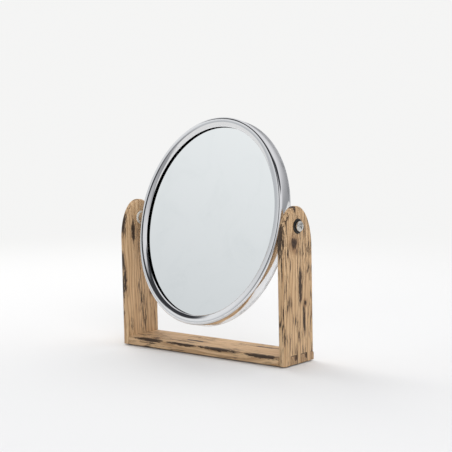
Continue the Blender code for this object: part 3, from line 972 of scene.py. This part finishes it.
def make_camera():
    data = bpy.data.cameras.new("camera")
    data.lens = CAMERA_LENS
    data.sensor_width = CAMERA_SENSOR
    data.shift_x, data.shift_y = CAMERA_SHIFT
    camera = bpy.data.objects.new("camera", data)
    bpy.context.scene.collection.objects.link(camera)
    back = Vector((
        sin(CAMERA_AZIMUTH) * cos(CAMERA_ELEVATION),
        -cos(CAMERA_AZIMUTH) * cos(CAMERA_ELEVATION),
        sin(CAMERA_ELEVATION),
    ))
    camera.location = Vector((0.0, 0.0, CAMERA_AIM_HEIGHT)) + back * CAMERA_DISTANCE
    turn = back.to_track_quat("Z", "Y").to_matrix().to_4x4()
    camera.rotation_euler = (turn @ Matrix.Rotation(-CAMERA_ROLL, 4, "Z")).to_euler()
    bpy.context.scene.camera = camera


# ---------------------------------------------------------------- the object

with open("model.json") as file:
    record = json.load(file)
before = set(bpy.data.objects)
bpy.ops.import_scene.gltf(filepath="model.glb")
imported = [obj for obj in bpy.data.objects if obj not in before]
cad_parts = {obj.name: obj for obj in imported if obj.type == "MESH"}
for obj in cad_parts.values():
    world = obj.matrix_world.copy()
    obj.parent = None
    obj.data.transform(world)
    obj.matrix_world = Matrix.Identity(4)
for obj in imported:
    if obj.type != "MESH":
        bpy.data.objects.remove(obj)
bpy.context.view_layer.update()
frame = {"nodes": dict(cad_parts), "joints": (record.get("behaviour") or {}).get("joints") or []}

HINGE = Vector(frame["joints"][0]["pos_m"])
RIGHT, UP, FACING = mirror_directions()
MIRROR = Matrix.Translation(HINGE) @ Matrix((RIGHT, UP, FACING)).transposed().to_4x4()
RIM_HALF_WIDTH = reach("mirror_rim", RIGHT)[1] - CAD_MARGIN
RIM_HALF_HEIGHT = reach("mirror_rim", UP)[1] - CAD_MARGIN
RIM_FRONT = reach("mirror_rim", FACING)[1]
RIM_BACK = -reach("rear_bezel", FACING)[0]
RIM_SEAM = reach("mirror_rim", FACING)[0]

# Knots as (along the grain, across it, size) in metres; dark places as (centre, half lengths) in mm, partly
# dark streaks and partly painted shade
RIGHT_KNOTS = [(HINGE.z - 0.0150, -0.0055, 0.0052), (0.055, 0.010, 0.0022)]
# The first right mark, on the post's front edge below the pivot, is the mirror's shadow painted in with a
# dark streak
RIGHT_MARKS_AND_SHADE = [
    ((95.5, -21, 116), (5, 5, 20)),
    ((97, -4, 141), (5, 2.6, 9)),
    ((100, 3, 72), (3, 3, 20)),
    ((100, 8, 40), (3, 2.2, 16)),
    ((93, -19, 30), (2, 4, 34)),
]
LEFT_KNOTS = [(0.049, 0.013, 0.0028)]
LEFT_MARKS = [
    ((-98, -21, 84), (3.5, 4, 11)),
    ((-95, -22, 66), (2, 2.5, 16)),
    ((-98, -20, 35), (2.5, 2.5, 18)),
    ((-97, -20, 122), (3, 5, 17)),
    ((-93, -11, 112), (3, 3, 14)),
    ((-98, -21, 58), (2.5, 3, 13)),
]
BASE_KNOTS = [(-0.062, -0.014, 0.0026)]
# The first four base marks, along the front top edge, are painted shade of the rounded edge mixed with dark
# streaks
BASE_MARKS_AND_SHADE = [
    ((-66, -21, 8.6), (21, 3.8, 2.3)),
    ((-24, -21.3, 8.3), (24, 2.6, 1.6)),
    ((22, -21, 8.6), (29, 4, 2.4)),
    ((74, -21, 8.2), (24, 3.8, 2.4)),
    ((-20, -3, 9.2), (15, 3, 2)),
    ((55, 9, 9.2), (17, 2.5, 2)),
    ((100, -5, 7), (2.5, 3, 3)),
    ((100, 11, 7), (2.5, 3, 3)),
]
right_wood = wood("right_post_wood", "Z", RIGHT_KNOTS, RIGHT_MARKS_AND_SHADE, 0.0, 0.0)
left_wood = wood("left_post_wood", "Z", LEFT_KNOTS, LEFT_MARKS, 0.173, 0.07)
base_wood = wood("base_wood", "X", BASE_KNOTS, BASE_MARKS_AND_SHADE, 0.071, 0.06)
chrome = polished_metal("polished_metal")
silver = silvered_glass("silvered_glass")
steel = plated_steel("plated_steel")
black = black_steel("blackened_steel")
nylon = moulded("natural_nylon", (0.80, 0.78, 0.72), (0.70, 0.68, 0.62), 0.45, 900.0, 0.00003)
rubber = moulded("bumper_rubber", (0.10, 0.10, 0.098), (0.07, 0.07, 0.068), 0.62, 1400.0, 0.00005)
plastic = moulded("core_plastic", (0.035, 0.035, 0.035), (0.025, 0.025, 0.025), 0.5, 1200.0, 0.00005)
foam = moulded("closed_cell_foam", (0.10, 0.10, 0.10), (0.05, 0.05, 0.05), 0.88, 1800.0, 0.0002)

make_base(base_wood)
make_post("left_post", left_wood)
make_post("right_post", right_wood)
make_rim(chrome)
make_rear_lip(chrome)
make_front_glass(silver)
make_rear_glass(silver)
for side_name, side, turn in (("left", -1, 24.0), ("right", 1, 8.0)):
    sleeve, washer = side_name + "_spacer_sleeve", side_name + "_nylon_washer"
    make_washer(sleeve, side_name + "_spacer", side, "mirror", 0.5 * MM, chrome, "polished_metal")
    make_washer(washer, side_name + "_friction_washer", side, "stand", 0.25 * MM, nylon, "nylon")
    make_cup_washer(side_name + "_finishing_washer", side_name + "_cup_washer", side, black)
    make_screw(side_name + "_cross_screw", side_name + "_pivot_screw", side, turn, steel)
    dress_cad_node(side_name + "_pivot_block", steel)
for node in frame["nodes"]:
    if node.startswith("foot_pad"):
        make_foot(node, rubber)
dress_cad_node("core_frame", plastic)
dress_cad_node("front_pad", foam)
dress_cad_node("rear_pad", foam)

make_floor()
make_world()
add_area_light("key_light", (-1.45, 0.45, 1.15), 1.3, 16.0, (1.0, 0.985, 0.96))
add_area_light("fill_light", (1.45, -1.1, 1.0), 1.3, 13.0, (0.95, 0.97, 1.0))
add_area_light("top_light", (0.1, 0.8, 1.6), 1.5, 7.0, (1.0, 1.0, 1.0))
make_camera()
bpy.context.scene.view_settings.view_transform = "Standard"
